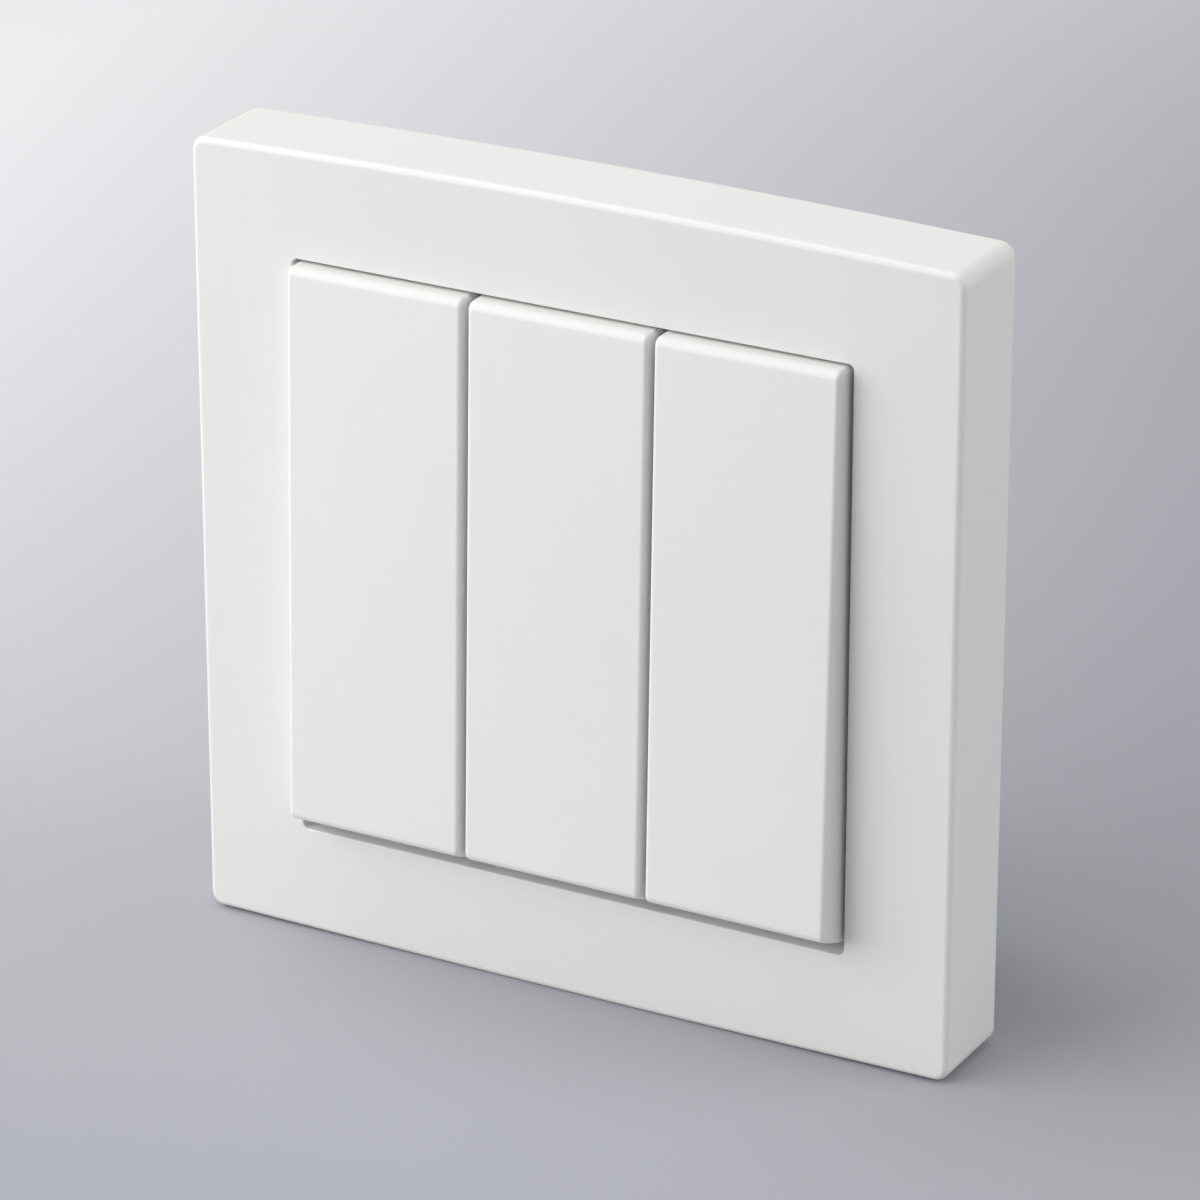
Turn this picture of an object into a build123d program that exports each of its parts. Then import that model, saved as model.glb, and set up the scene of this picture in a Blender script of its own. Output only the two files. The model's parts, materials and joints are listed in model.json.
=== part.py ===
from build123d import *
import os
from math import cos, radians, sin

# Three-gang rocker light switch for a square wall box.
# X runs to the right, Z up and Y into the wall, and the wall surface is the plane Y = 0.
# Every size is in millimetres. "Out" is the distance from the wall surface towards the room.

# Cover frame
frame_width = 86.0
frame_height = 86.0
frame_depth = 11.0
frame_border = 11.65
top_crown = 0.65
bottom_crown = 0.30
frame_wall = 2.0
frame_front_wall = 2.2
frame_corner_radius = 1.5
front_edge_radius = 0.65
back_edge_radius = 0.3
opening_corner_radius = 0.6
opening_edge_radius = 0.2
collar_wall = 1.2
collar_depth = 1.6
hook_thickness = 1.2
hook_width = 5.6
hook_barb = 0.9
hook_barb_height = 1.4
hook_rise = 15.0
hook_flex_gap = 0.9

# Rocker caps
rocker_height = 6.8
rocker_gap = 0.4
rocker_margin = 0.35
rocker_wall = 1.6
rocker_side_draft = 0.15
rocker_top_lean = 0.2
rocker_bottom_lean = 2.18
rocker_bottom_bulge = 0.25
rocker_end_radius = 0.9
rocker_side_radius = 0.5
rocker_tilt = 1.6
face_proud = 2.8

# Toggles, plungers and springs
carrier_width = 12.0
carrier_length = 20.0
carrier_thickness = 1.4
barrel_radius = 3.0
barrel_reach = 9.7
barrel_bore_rise = 5.0
trunnion_radius = 1.5
clip_width = 5.0
clip_thickness = 1.2
clip_barb = 0.8
clip_barb_height = 0.9
plunger_radius = 1.65
plunger_length = 9.7
plunger_proud = 4.5
plunger_pilot_radius = 0.7
plunger_pilot_length = 1.5
spring_radius = 1.25
spring_wire = 0.4
spring_turns = 7

# Contacts
contact_tilt = 5.0
contact_width = 6.0
contact_thickness = 1.0
contact_reach = 8.5
contact_tail = 7.0
contact_lug_radius = 0.6
contact_lug_end = 0.3
tip_radius = 1.5
tip_height = 0.8
tip_shank_radius = 0.7
tip_edge_margin = 0.5
fixed_contact_thickness = 0.8
fixed_contact_width = 5.0
bar_thickness = 1.0
bar_width = 4.0
ear_thickness = 0.8
ear_rise = 0.9

# Terminals
block_width = 6.5
block_head = 3.4
block_inner = 3.0
block_outer = 6.0
block_wall_gap = 1.5
foot_inset = 0.8
wire_radius = 1.5
wire_end_wall = 1.5
wire_lead_in = 0.3
clamp_screw_radius = 1.25
clamp_head_radius = 2.1
clamp_head_height = 1.8

# Mounting plate, housing and lid
plate_end_margin = 3.0
plate_thickness = 1.2
plate_corner_radius = 3.0
plate_flange_end = 7.0
plate_flange_height = 6.0
plate_slot_margin = 0.3
housing_height = 52.0
housing_depth = 22.0
housing_wall = 1.5
housing_floor = 1.7
housing_corner_radius = 2.0
flange_thickness = 1.5
flange_side = 1.4
flange_screw_margin = 0.4
partition = 1.4
bearing_depth = 5.0
bearing_half_width = 3.0
lid_thickness = 2.5
lid_screw_margin = 3.2
lid_side_margin = 0.8
lid_edge_radius = 0.6
boss_wall = 1.5
boss_depth = 10.0
shelf_thickness = 1.2

# Screws
box_screw_gap = 1.15
box_screw_radius = 1.75
box_screw_length = 20.0
box_screw_neck_radius = 1.4
box_screw_head_radius = 3.4
box_screw_head_height = 2.0
box_slot_length = 8.0
lid_screw_radius = 0.9
lid_screw_length = 8.0
lid_head_radius = 1.8
lid_head_height = 1.2
lid_head_sink = 1.0
lid_screw_rise = 16.0
housing_screw_radius = 1.25
housing_head_radius = 2.1
housing_head_height = 1.3
housing_screw_spread = 36.0
drive_slot_width = 0.6
drive_slot_depth = 0.6

# Clearances
running_clearance = 0.05
trunnion_end_gap = 0.1
fixing_clearance = 0.05
seat_clearance = 0.3
barrel_clearance = 0.5
barrel_wall_gap = 0.25
nose_clearance = 0.12
closed_clearance = 0.12
lug_saddle_gap = 0.4
rivet_clearance = 0.03
box_slot_clearance = 0.35
screw_tip_clearance = 0.2
# How far joined shapes run into each other, and cuts run past a face
overlap = 0.2

# Levels, measured out from the wall
plate_front = plate_thickness
pivot_out = plate_front + flange_thickness
lid_front = pivot_out + lid_thickness
frame_ceiling = frame_depth - frame_front_wall
floor_out = housing_floor - housing_depth

# Levels of a rocker, measured out from its pivot
face_level = frame_depth + face_proud - pivot_out
skirt_level = face_level - rocker_height
cap_ceiling = face_level - rocker_wall
carrier_back = cap_ceiling - carrier_thickness
nose_level = -(barrel_reach + plunger_proud)
plunger_head = nose_level + plunger_length
barrel_bore = plunger_radius + running_clearance

# Levels of the contacts, measured out from the wall
contact_pivot_out = pivot_out + nose_level - nose_clearance - contact_thickness / 2
tip_drop = contact_thickness / 2 + tip_height
closed_tip_out = (
    contact_pivot_out
    - (contact_reach + tip_radius) * sin(radians(contact_tilt))
    - tip_drop * cos(radians(contact_tilt))
)
fixed_front = closed_tip_out - closed_clearance - tip_height
fixed_back = fixed_front - fixed_contact_thickness

# Places across the wall
opening_width = frame_width - 2 * frame_border
opening_height = frame_height - 2 * frame_border
rocker_width = (opening_width - 2 * rocker_margin - 2 * rocker_gap) / 3
rocker_length = opening_height - 2 * rocker_margin
gang_pitch = rocker_width + rocker_gap
# The mechanisms stand closer together than the rockers, each barrel just inside its rocker's side wall
barrel_room = rocker_width / 2 - rocker_side_draft - rocker_wall - barrel_wall_gap
module_pitch = gang_pitch - (barrel_room - barrel_radius)
module_width = module_pitch - partition
bearing_face = barrel_radius + barrel_clearance
trunnion_half = module_width / 2 - trunnion_end_gap
housing_inner_width = 2 * module_pitch + module_width
housing_inner_height = housing_height - 2 * housing_wall
housing_width = housing_inner_width + 2 * housing_wall
flange_end = 2 * (housing_head_radius + flange_screw_margin)
hook_inner = frame_width / 2 - frame_wall - hook_flex_gap - hook_thickness
flange_outer = hook_inner - seat_clearance
plate_height = frame_height - 2 * (frame_wall + plate_end_margin)
terminal_rise = housing_inner_height / 2 - block_wall_gap - block_outer
block_inner_end = terminal_rise - block_inner
block_outer_end = terminal_rise + block_outer
pedestal_length = block_inner_end - contact_reach + tip_radius
ear_middle = contact_width / 2 + lug_saddle_gap + ear_thickness / 2
contact_lug_half = ear_middle + ear_thickness / 2 + contact_lug_end

# Sizes of the terminals, which stand on the housing's floor and rise past the fixed contacts
block_height = fixed_front + block_head - floor_out
block_middle = (block_inner_end + block_outer_end) / 2
foot_width = block_width - 2 * foot_inset
foot_length = block_inner + block_outer - 2 * foot_inset
wire_depth = housing_floor + block_height - wire_end_wall
clamp_out = floor_out + (wire_depth - housing_floor) / 2
shelf_out = floor_out + block_height + seat_clearance
shelf_length = housing_inner_height / 2 + overlap - block_inner_end

# Screw places, as distances across and up
lid_screw_places = [(side * module_pitch / 2, end * lid_screw_rise) for side in (-1, 1) for end in (-1, 1)]
housing_screw_rise = (housing_height + flange_end) / 2
housing_screw_places = [
    (side * housing_screw_spread / 2, end * housing_screw_rise) for side in (-1, 1) for end in (-1, 1)
]
# The fixing screws come 60.3 apart, the standard distance of a square wall box
box_screw_across = housing_width / 2 + flange_side + box_screw_gap + box_screw_head_radius
box_screw_places = [(-box_screw_across, 0), (box_screw_across, 0)]

gangs = {"left": -1, "centre": 0, "right": 1}
terminal_places = {
    "left": (-module_pitch, 1),
    "centre": (0, 1),
    "right": (module_pitch, 1),
    "common": (0, -1),
}
wall = Plane.XZ
seated = (Align.CENTER, Align.CENTER, Align.MIN)
hanging = (Align.CENTER, Align.CENTER, Align.MAX)

os.makedirs("parts", exist_ok=True)


def save(part, name):
    """Label one finished piece and write it under its own name."""
    part.label = name
    export_step(part, f"parts/{name}.step")


def tilted_plane(across, out, tilt):
    """Plane facing the room at a gang's pivot, turned so that its normal leans up by tilt degrees."""
    lean = radians(tilt)
    return Plane(origin=(across, -out, 0), x_dir=(1, 0, 0), z_dir=(0, -cos(lean), sin(lean)))


def side_plane(plane):
    """Plane through a gang's middle, drawn with up to the right and out upwards."""
    return Plane(origin=plane.origin, x_dir=plane.y_dir, z_dir=plane.x_dir)


def end_plane(plane):
    """Plane through a gang's pivot axis, drawn with across to the right and out upwards."""
    return Plane(origin=plane.origin, x_dir=plane.x_dir, z_dir=-plane.y_dir)


def frame_outline():
    """Outline of the cover frame with its crowned top and bottom edges."""
    half = frame_width / 2
    top = frame_height / 2
    bottom = -frame_height / 2
    with BuildSketch() as outline:
        with BuildLine():
            ThreePointArc((-half, top - top_crown), (0, top), (half, top - top_crown))
            Line((half, top - top_crown), (half, bottom + bottom_crown))
            ThreePointArc((half, bottom + bottom_crown), (0, bottom), (-half, bottom + bottom_crown))
            Line((-half, bottom + bottom_crown), (-half, top - top_crown))
        make_face()
        fillet(outline.vertices(), frame_corner_radius)
    return outline.sketch


# Cover frame: a hollow surround with a collar round its opening and four spring hooks
outline = frame_outline()
with BuildPart(wall) as cover_frame:
    with BuildSketch(wall):
        add(outline)
    extrude(amount=frame_depth)
    with BuildSketch(wall):
        add(outline)
        offset(amount=-frame_wall, mode=Mode.REPLACE)
    extrude(amount=frame_ceiling, mode=Mode.SUBTRACT)
    with BuildSketch(wall.offset(frame_ceiling)):
        RectangleRounded(
            opening_width + 2 * collar_wall,
            opening_height + 2 * collar_wall,
            opening_corner_radius + collar_wall,
        )
    extrude(amount=-collar_depth)
    with BuildSketch(wall.offset(frame_depth)):
        RectangleRounded(opening_width, opening_height, opening_corner_radius)
    extrude(amount=-(frame_front_wall + collar_depth), mode=Mode.SUBTRACT)
    front = cover_frame.faces().sort_by(Axis.Y)[0]
    rim = cover_frame.faces().sort_by(Axis.Y)[-1]
    outer_edges = front.outer_wire().edges()
    opening_edges = front.inner_wires()[0].edges()
    rim_edges = rim.outer_wire().edges()
    fillet(outer_edges, front_edge_radius)
    fillet(opening_edges, opening_edge_radius)
    fillet(rim_edges, back_edge_radius)
    # Each hook's barb stands in a slot of the mounting plate's side flange
    slot_middle = plate_flange_height / 2 + plate_thickness / 2
    for side in (-1, 1):
        for rise in (-hook_rise, hook_rise):
            barb_back = slot_middle - hook_barb_height / 2
            with Locations((side * (hook_inner + hook_thickness / 2), rise, barb_back)):
                Box(hook_thickness, hook_width, frame_ceiling - barb_back + overlap, align=seated)
            with Locations((side * (hook_inner + (hook_thickness - hook_barb) / 2), rise, barb_back)):
                Box(hook_thickness + hook_barb, hook_width, hook_barb_height, align=seated)
save(cover_frame.part, "cover_frame")


# Mounting plate: folded steel with a window for the housing and a flange down each side
flange_slot_width = hook_width + 2 * plate_slot_margin
flange_slot_height = hook_barb_height + 2 * plate_slot_margin
flange_length = 2 * (hook_rise + flange_slot_width / 2 + plate_flange_end)
with BuildPart(wall) as mounting_plate:
    with BuildSketch(wall):
        RectangleRounded(2 * flange_outer, plate_height, plate_corner_radius)
        Rectangle(
            housing_width + 2 * seat_clearance, housing_height + 2 * seat_clearance, mode=Mode.SUBTRACT
        )
        with Locations(*box_screw_places):
            SlotOverall(box_slot_length, 2 * (box_screw_radius + box_slot_clearance), mode=Mode.SUBTRACT)
        with Locations(*housing_screw_places):
            Circle(housing_screw_radius + fixing_clearance, mode=Mode.SUBTRACT)
    extrude(amount=plate_thickness)
    for side in (-1, 1):
        with Locations((side * (flange_outer - plate_thickness / 2), 0, 0)):
            Box(plate_thickness, flange_length, plate_flange_height, align=seated)
        for rise in (-hook_rise, hook_rise):
            with Locations((side * flange_outer, rise, slot_middle)):
                Box(2 * plate_thickness + overlap, flange_slot_width, flange_slot_height, mode=Mode.SUBTRACT)
save(mounting_plate.part, "mounting_plate")


# Rear housing: an open box with a flange, partitions, bearing blocks, screw bosses and pedestals
bearing_block = module_width / 2 + overlap - bearing_face
boss_radius = lid_screw_radius + boss_wall
with BuildPart(wall) as rear_housing:
    with BuildSketch(wall.offset(-housing_depth)):
        RectangleRounded(housing_width, housing_height, housing_corner_radius)
    extrude(amount=housing_depth + pivot_out)
    with BuildSketch(wall.offset(plate_front)):
        RectangleRounded(
            housing_width + 2 * flange_side, housing_height + 2 * flange_end, housing_corner_radius
        )
        with Locations(*housing_screw_places):
            Circle(housing_screw_radius + fixing_clearance, mode=Mode.SUBTRACT)
    extrude(amount=flange_thickness)
    with Locations((0, 0, floor_out)):
        Box(
            housing_inner_width,
            housing_inner_height,
            pivot_out - floor_out + overlap,
            align=seated,
            mode=Mode.SUBTRACT,
        )
    for side in (-1, 1):
        with Locations((side * module_pitch / 2, 0, floor_out - overlap)):
            Box(partition, housing_inner_height + 2 * overlap, pivot_out - floor_out + overlap, align=seated)
    # Bearing blocks stand on both sides of every barrel
    for gang in gangs.values():
        for side in (-1, 1):
            with Locations((gang * module_pitch + side * (bearing_face + bearing_block / 2), 0, pivot_out)):
                Box(bearing_block, 2 * bearing_half_width, bearing_depth, align=hanging)
    with Locations(*[(x, y, pivot_out - boss_depth) for x, y in lid_screw_places]):
        Cylinder(boss_radius, boss_depth, align=seated)
    with Locations(*[(x, y, pivot_out) for x, y in lid_screw_places]):
        Cylinder(lid_screw_radius + fixing_clearance, lid_screw_length, align=hanging, mode=Mode.SUBTRACT)
    # A pedestal carries each fixed contact
    for gang in gangs.values():
        with Locations((gang * module_pitch, block_inner_end - pedestal_length / 2, floor_out - overlap)):
            Box(fixed_contact_width, pedestal_length, fixed_back - floor_out + overlap, align=seated)
    # A shelf over each terminal keeps it on the floor
    for across, end in terminal_places.values():
        with Locations((across, end * (block_inner_end + shelf_length / 2), shelf_out)):
            Box(module_width + 2 * overlap, shelf_length, shelf_thickness, align=seated)
    for gang in gangs.values():
        with Locations((gang * module_pitch, 0, pivot_out)):
            Cylinder(
                trunnion_radius + running_clearance,
                module_width,
                rotation=(0, 90, 0),
                mode=Mode.SUBTRACT,
            )
    # The common bar passes through a notch in each partition
    for side in (-1, 1):
        with Locations((side * module_pitch / 2, 0, floor_out)):
            Box(
                partition + overlap,
                bar_width + 2 * seat_clearance,
                bar_thickness + seat_clearance,
                align=seated,
                mode=Mode.SUBTRACT,
            )
    # Each terminal's foot fills a window in the floor, and its clamp screw is reached through the end wall
    for across, end in terminal_places.values():
        with Locations((across, end * block_middle, floor_out)):
            Box(
                foot_width + 2 * fixing_clearance,
                foot_length + 2 * fixing_clearance,
                2 * housing_floor,
                align=hanging,
                mode=Mode.SUBTRACT,
            )
        with Locations((across, end * housing_height / 2, clamp_out)):
            Cylinder(
                clamp_head_radius + seat_clearance,
                2 * housing_wall + overlap,
                rotation=(90, 0, 0),
                mode=Mode.SUBTRACT,
            )
save(rear_housing.part, "rear_housing")


# Mechanism cover: the lid, with a window for each barrel and the upper halves of the bearings
window = 2 * bearing_face
lid_height = 2 * (lid_screw_rise + lid_head_radius + lid_screw_margin)
with BuildPart(wall) as mechanism_cover:
    with BuildSketch(wall.offset(pivot_out)):
        RectangleRounded(housing_width - 2 * lid_side_margin, lid_height, housing_corner_radius)
    extrude(amount=lid_thickness)
    fillet(mechanism_cover.faces().sort_by(Axis.Y)[0].edges(), lid_edge_radius)
    for gang in gangs.values():
        with Locations((gang * module_pitch, 0, pivot_out)):
            Box(window, window, 2 * lid_thickness + overlap, mode=Mode.SUBTRACT)
            Cylinder(
                trunnion_radius + running_clearance,
                module_width,
                rotation=(0, 90, 0),
                mode=Mode.SUBTRACT,
            )
    with Locations(*[(x, y, pivot_out) for x, y in lid_screw_places]):
        Cylinder(lid_screw_radius + fixing_clearance, lid_thickness, align=seated, mode=Mode.SUBTRACT)
    with Locations(*[(x, y, lid_front - lid_head_sink) for x, y in lid_screw_places]):
        Cylinder(lid_head_radius + fixing_clearance, lid_head_sink, align=seated, mode=Mode.SUBTRACT)
save(mechanism_cover.part, "mechanism_cover")


def rocker_cap(across):
    """Hollow cap whose lower end leans back more than its upper end, with two clips for the carrier."""
    plane = tilted_plane(across, pivot_out, rocker_tilt)
    half = rocker_length / 2
    top_end = half - rocker_top_lean
    bottom_end = rocker_bottom_lean - half
    outwards = Axis(plane.origin, plane.z_dir)
    with BuildPart(plane) as cap:
        with BuildSketch(side_plane(plane)) as profile:
            with BuildLine():
                Polyline(
                    (bottom_end, face_level),
                    (top_end, face_level),
                    (half, skirt_level),
                    (-half, skirt_level),
                )
                SagittaArc((-half, skirt_level), (bottom_end, face_level), rocker_bottom_bulge)
            make_face()
            fillet(profile.vertices().sort_by(Axis.Y)[-2:], rocker_end_radius)
        extrude(amount=rocker_width / 2, both=True)
        with BuildSketch(end_plane(plane)):
            with BuildLine():
                Polyline(
                    (-rocker_width / 2, skirt_level),
                    (rocker_width / 2, skirt_level),
                    (rocker_width / 2 - rocker_side_draft, face_level),
                    (rocker_side_draft - rocker_width / 2, face_level),
                    close=True,
                )
            make_face()
        extrude(amount=rocker_length, both=True, mode=Mode.INTERSECT)
        sides = cap.faces().sort_by(Axis.X)
        skirt_edges = cap.faces().sort_by(outwards)[0].edges()
        fillet(sides[0].edges() + sides[-1].edges() - skirt_edges, rocker_side_radius)
        # The hollow behind the face
        with BuildSketch(side_plane(plane)):
            with BuildLine():
                Polyline(
                    (rocker_wall - half, skirt_level - overlap),
                    (half - rocker_wall, skirt_level - overlap),
                    (top_end - rocker_wall, cap_ceiling),
                    (bottom_end + rocker_wall, cap_ceiling),
                    close=True,
                )
            make_face()
        extrude(
            amount=rocker_width / 2 - rocker_side_draft - rocker_wall, both=True, mode=Mode.SUBTRACT
        )
        # Clips reach down both ends of the carrier and hook behind it
        clip_inner = carrier_length / 2 + seat_clearance
        barb_front = carrier_back - running_clearance
        for end in (-1, 1):
            with Locations((0, end * (clip_inner + clip_thickness / 2), barb_front - clip_barb_height)):
                Box(
                    clip_width,
                    clip_thickness,
                    cap_ceiling + overlap - barb_front + clip_barb_height,
                    align=seated,
                )
            with Locations((0, end * (clip_inner + (clip_thickness - clip_barb) / 2), barb_front)):
                Box(clip_width, clip_thickness + clip_barb, clip_barb_height, align=hanging)
    return cap.part


def toggle(gang):
    """Carrier under a cap, on a barrel with two trunnions and a bore for the spring and plunger."""
    plane = tilted_plane(gang * module_pitch, pivot_out, rocker_tilt)
    cap_offset = gang * (gang_pitch - module_pitch)
    carrier_left = min(cap_offset - carrier_width / 2, -barrel_radius)
    carrier_right = max(cap_offset + carrier_width / 2, barrel_radius)
    with BuildPart(plane) as piece:
        with Locations((0, 0, -barrel_reach)):
            Cylinder(barrel_radius, carrier_back + barrel_reach + overlap, align=seated)
        with Locations(((carrier_left + carrier_right) / 2, 0, carrier_back)):
            Box(carrier_right - carrier_left, carrier_length, carrier_thickness, align=seated)
        Cylinder(trunnion_radius, 2 * trunnion_half, rotation=(0, 90, 0))
        with Locations((0, 0, -barrel_reach)):
            Cylinder(barrel_bore, barrel_reach + barrel_bore_rise, align=seated, mode=Mode.SUBTRACT)
    return piece.part


def plunger(gang):
    """Round-nosed pin with a pilot that stands in the spring."""
    plane = tilted_plane(gang * module_pitch, pivot_out, rocker_tilt)
    with BuildPart(plane) as piece:
        with Locations((0, 0, plunger_head)):
            Cylinder(plunger_radius, plunger_length - plunger_radius, align=hanging)
        with Locations((0, 0, nose_level + plunger_radius)):
            Sphere(plunger_radius)
        with Locations((0, 0, plunger_head)):
            Cylinder(plunger_pilot_radius, plunger_pilot_length, align=seated)
    return piece.part


def spring(gang):
    """Open coil between the end of the bore and the plunger's head."""
    plane = tilted_plane(gang * module_pitch, pivot_out, rocker_tilt)
    coil_start = plunger_head + spring_wire / 2 + running_clearance
    coil_length = barrel_bore_rise - spring_wire / 2 - running_clearance - coil_start
    start = plane.from_local_coords((0, 0, coil_start))
    with BuildPart() as piece:
        with BuildLine() as coil:
            Helix(coil_length / spring_turns, coil_length, spring_radius, start, plane.z_dir)
        with BuildSketch(Plane(origin=coil.line @ 0, z_dir=coil.line % 0)):
            Circle(spring_wire / 2)
        sweep(path=coil.line, is_frenet=True)
    return piece.part


def moving_contact(gang):
    """Rocking copper strip with a pivot lug on each side and a hole for its rivet."""
    plane = tilted_plane(gang * module_pitch, contact_pivot_out, -contact_tilt)
    upper_end = contact_reach + tip_radius + tip_edge_margin
    with BuildPart(plane) as piece:
        with Locations((0, (upper_end - contact_tail) / 2, 0)):
            Box(contact_width, upper_end + contact_tail, contact_thickness)
        Cylinder(contact_lug_radius, 2 * contact_lug_half, rotation=(0, 90, 0))
        with Locations((0, contact_reach, 0)):
            Cylinder(tip_shank_radius + rivet_clearance, 2 * contact_thickness, mode=Mode.SUBTRACT)
    return piece.part


def moving_tip(gang):
    """Contact rivet on the back of a rocking strip, with its shank in the strip."""
    plane = tilted_plane(gang * module_pitch, contact_pivot_out, -contact_tilt)
    with BuildPart(plane) as piece:
        with Locations((0, contact_reach, -contact_thickness / 2)):
            Cylinder(tip_radius, tip_height, align=hanging)
            Cylinder(tip_shank_radius, contact_thickness, align=seated)
    return piece.part


def fixed_contact(gang):
    """Brass strip from a terminal to the place under the rocking strip's rivet."""
    with BuildPart(wall) as piece:
        with Locations((gang * module_pitch, block_inner_end - pedestal_length / 2, fixed_back)):
            Box(fixed_contact_width, pedestal_length, fixed_contact_thickness, align=seated)
        with Locations((gang * module_pitch, contact_reach, fixed_back)):
            Cylinder(
                tip_shank_radius + rivet_clearance,
                fixed_contact_thickness,
                align=seated,
                mode=Mode.SUBTRACT,
            )
    return piece.part


def terminal(across, end):
    """Brass block on a foot, with a blind wire hole in its back and a clamp screw hole in its outer end."""
    with BuildPart(wall) as piece:
        with Locations((across, end * block_middle, floor_out)):
            Box(block_width, block_inner + block_outer, block_height, align=seated)
            Box(foot_width, foot_length, housing_floor, align=hanging)
        with Locations((across, end * terminal_rise, -housing_depth)):
            Cylinder(wire_radius, wire_depth, align=seated, mode=Mode.SUBTRACT)
            Cone(wire_radius + wire_lead_in, wire_radius, wire_lead_in, align=seated, mode=Mode.SUBTRACT)
        with Locations((across, end * (terminal_rise + block_outer / 2), clamp_out)):
            Cylinder(
                clamp_screw_radius + fixing_clearance, block_outer, rotation=(90, 0, 0), mode=Mode.SUBTRACT
            )
    return piece.part


for name, gang in gangs.items():
    save(rocker_cap(gang * gang_pitch), f"rocker_{name}")
    save(toggle(gang), f"toggle_{name}")
    save(plunger(gang), f"plunger_{name}")
    save(spring(gang), f"spring_{name}")
    save(moving_contact(gang), f"moving_contact_{name}")
    save(moving_tip(gang), f"moving_tip_{name}")
    save(fixed_contact(gang), f"fixed_contact_{name}")

for name, (across, end) in terminal_places.items():
    save(terminal(across, end), f"terminal_{name}")


# Fixed contact rivets
with BuildPart(wall) as fixed_tips:
    for gang in gangs.values():
        with Locations((gang * module_pitch, contact_reach, fixed_front)):
            Cylinder(tip_radius, tip_height, align=seated)
            Cylinder(tip_shank_radius, fixed_contact_thickness, align=hanging)
save(fixed_tips.part, "fixed_tips")


# Common bar: a feed bar on the housing's floor, with two notched ears for each rocking strip
ear_front = contact_pivot_out + ear_rise
notch = contact_lug_radius + running_clearance
with BuildPart(wall) as common_bar:
    with Locations((0, 0, floor_out)):
        Box(2 * (module_pitch + ear_middle) + ear_thickness, bar_width, bar_thickness, align=seated)
    with Locations((0, -block_inner_end, floor_out)):
        Box(bar_width, block_inner_end, bar_thickness, align=(Align.CENTER, Align.MIN, Align.MIN))
    for gang in gangs.values():
        for side in (-1, 1):
            with Locations((gang * module_pitch + side * ear_middle, 0, floor_out)):
                Box(ear_thickness, bar_width, ear_front - floor_out, align=seated)
            with Locations((gang * module_pitch + side * ear_middle, 0, contact_pivot_out)):
                Cylinder(notch, ear_thickness + overlap, rotation=(0, 90, 0), mode=Mode.SUBTRACT)
                Box(ear_thickness + overlap, 2 * notch, 2 * ear_rise, align=seated, mode=Mode.SUBTRACT)
save(common_bar.part, "common_bar")


def slotted_screw(head_radius, head_height, shank_radius, shank_length):
    """Cheese-head screw on the current place, its head standing out and its shank going in."""
    Cylinder(head_radius, head_height, align=seated)
    Cylinder(shank_radius, shank_length, align=hanging)
    with Locations((0, 0, head_height)):
        Box(2 * head_radius, drive_slot_width, drive_slot_depth, align=hanging, mode=Mode.SUBTRACT)


# Terminal clamp screws, driven from the housing's upper and lower sides
clamp_length = block_outer - wire_radius - screw_tip_clearance
clamp_screws = []
for across, end in terminal_places.values():
    seat = Plane(
        origin=(across, -clamp_out, end * block_outer_end),
        x_dir=(1, 0, 0),
        z_dir=(0, 0, end),
    )
    with BuildPart(seat) as clamp_screw:
        slotted_screw(clamp_head_radius, clamp_head_height, clamp_screw_radius, clamp_length)
    clamp_screws.append(clamp_screw.part)
with BuildPart() as terminal_screws:
    add(clamp_screws)
save(terminal_screws.part, "terminal_screws")

# Screws of the mechanism cover
lid_shank = lid_thickness - lid_head_sink + lid_screw_length - screw_tip_clearance
with BuildPart(wall) as cover_screws:
    with Locations(*[(x, y, lid_front - lid_head_sink) for x, y in lid_screw_places]):
        slotted_screw(lid_head_radius, lid_head_height, lid_screw_radius, lid_shank)
save(cover_screws.part, "cover_screws")

# Screws that hold the housing to the plate
with BuildPart(wall) as housing_screws:
    with Locations(*[(x, y, pivot_out) for x, y in housing_screw_places]):
        slotted_screw(housing_head_radius, housing_head_height, housing_screw_radius, pivot_out)
save(housing_screws.part, "housing_screws")

# Fixing screws to the wall box, each with a thinner neck where it passes the plate
with BuildPart(wall) as box_screws:
    with Locations(*[(x, y, plate_front) for x, y in box_screw_places]):
        slotted_screw(
            box_screw_head_radius, box_screw_head_height, box_screw_neck_radius, plate_thickness + overlap
        )
    with Locations(*box_screw_places):
        Cylinder(box_screw_radius, box_screw_length, align=hanging)
save(box_screws.part, "box_screws")
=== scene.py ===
"""Finishes, detailed surfaces and a small studio for a three-gang rocker light switch.

X runs to the right, Z up and Y into the wall, and every length is in metres.
"""
import json
from math import cos, radians, sin

import bmesh
import bpy
import numpy as np
from mathutils import Matrix, Vector


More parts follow.
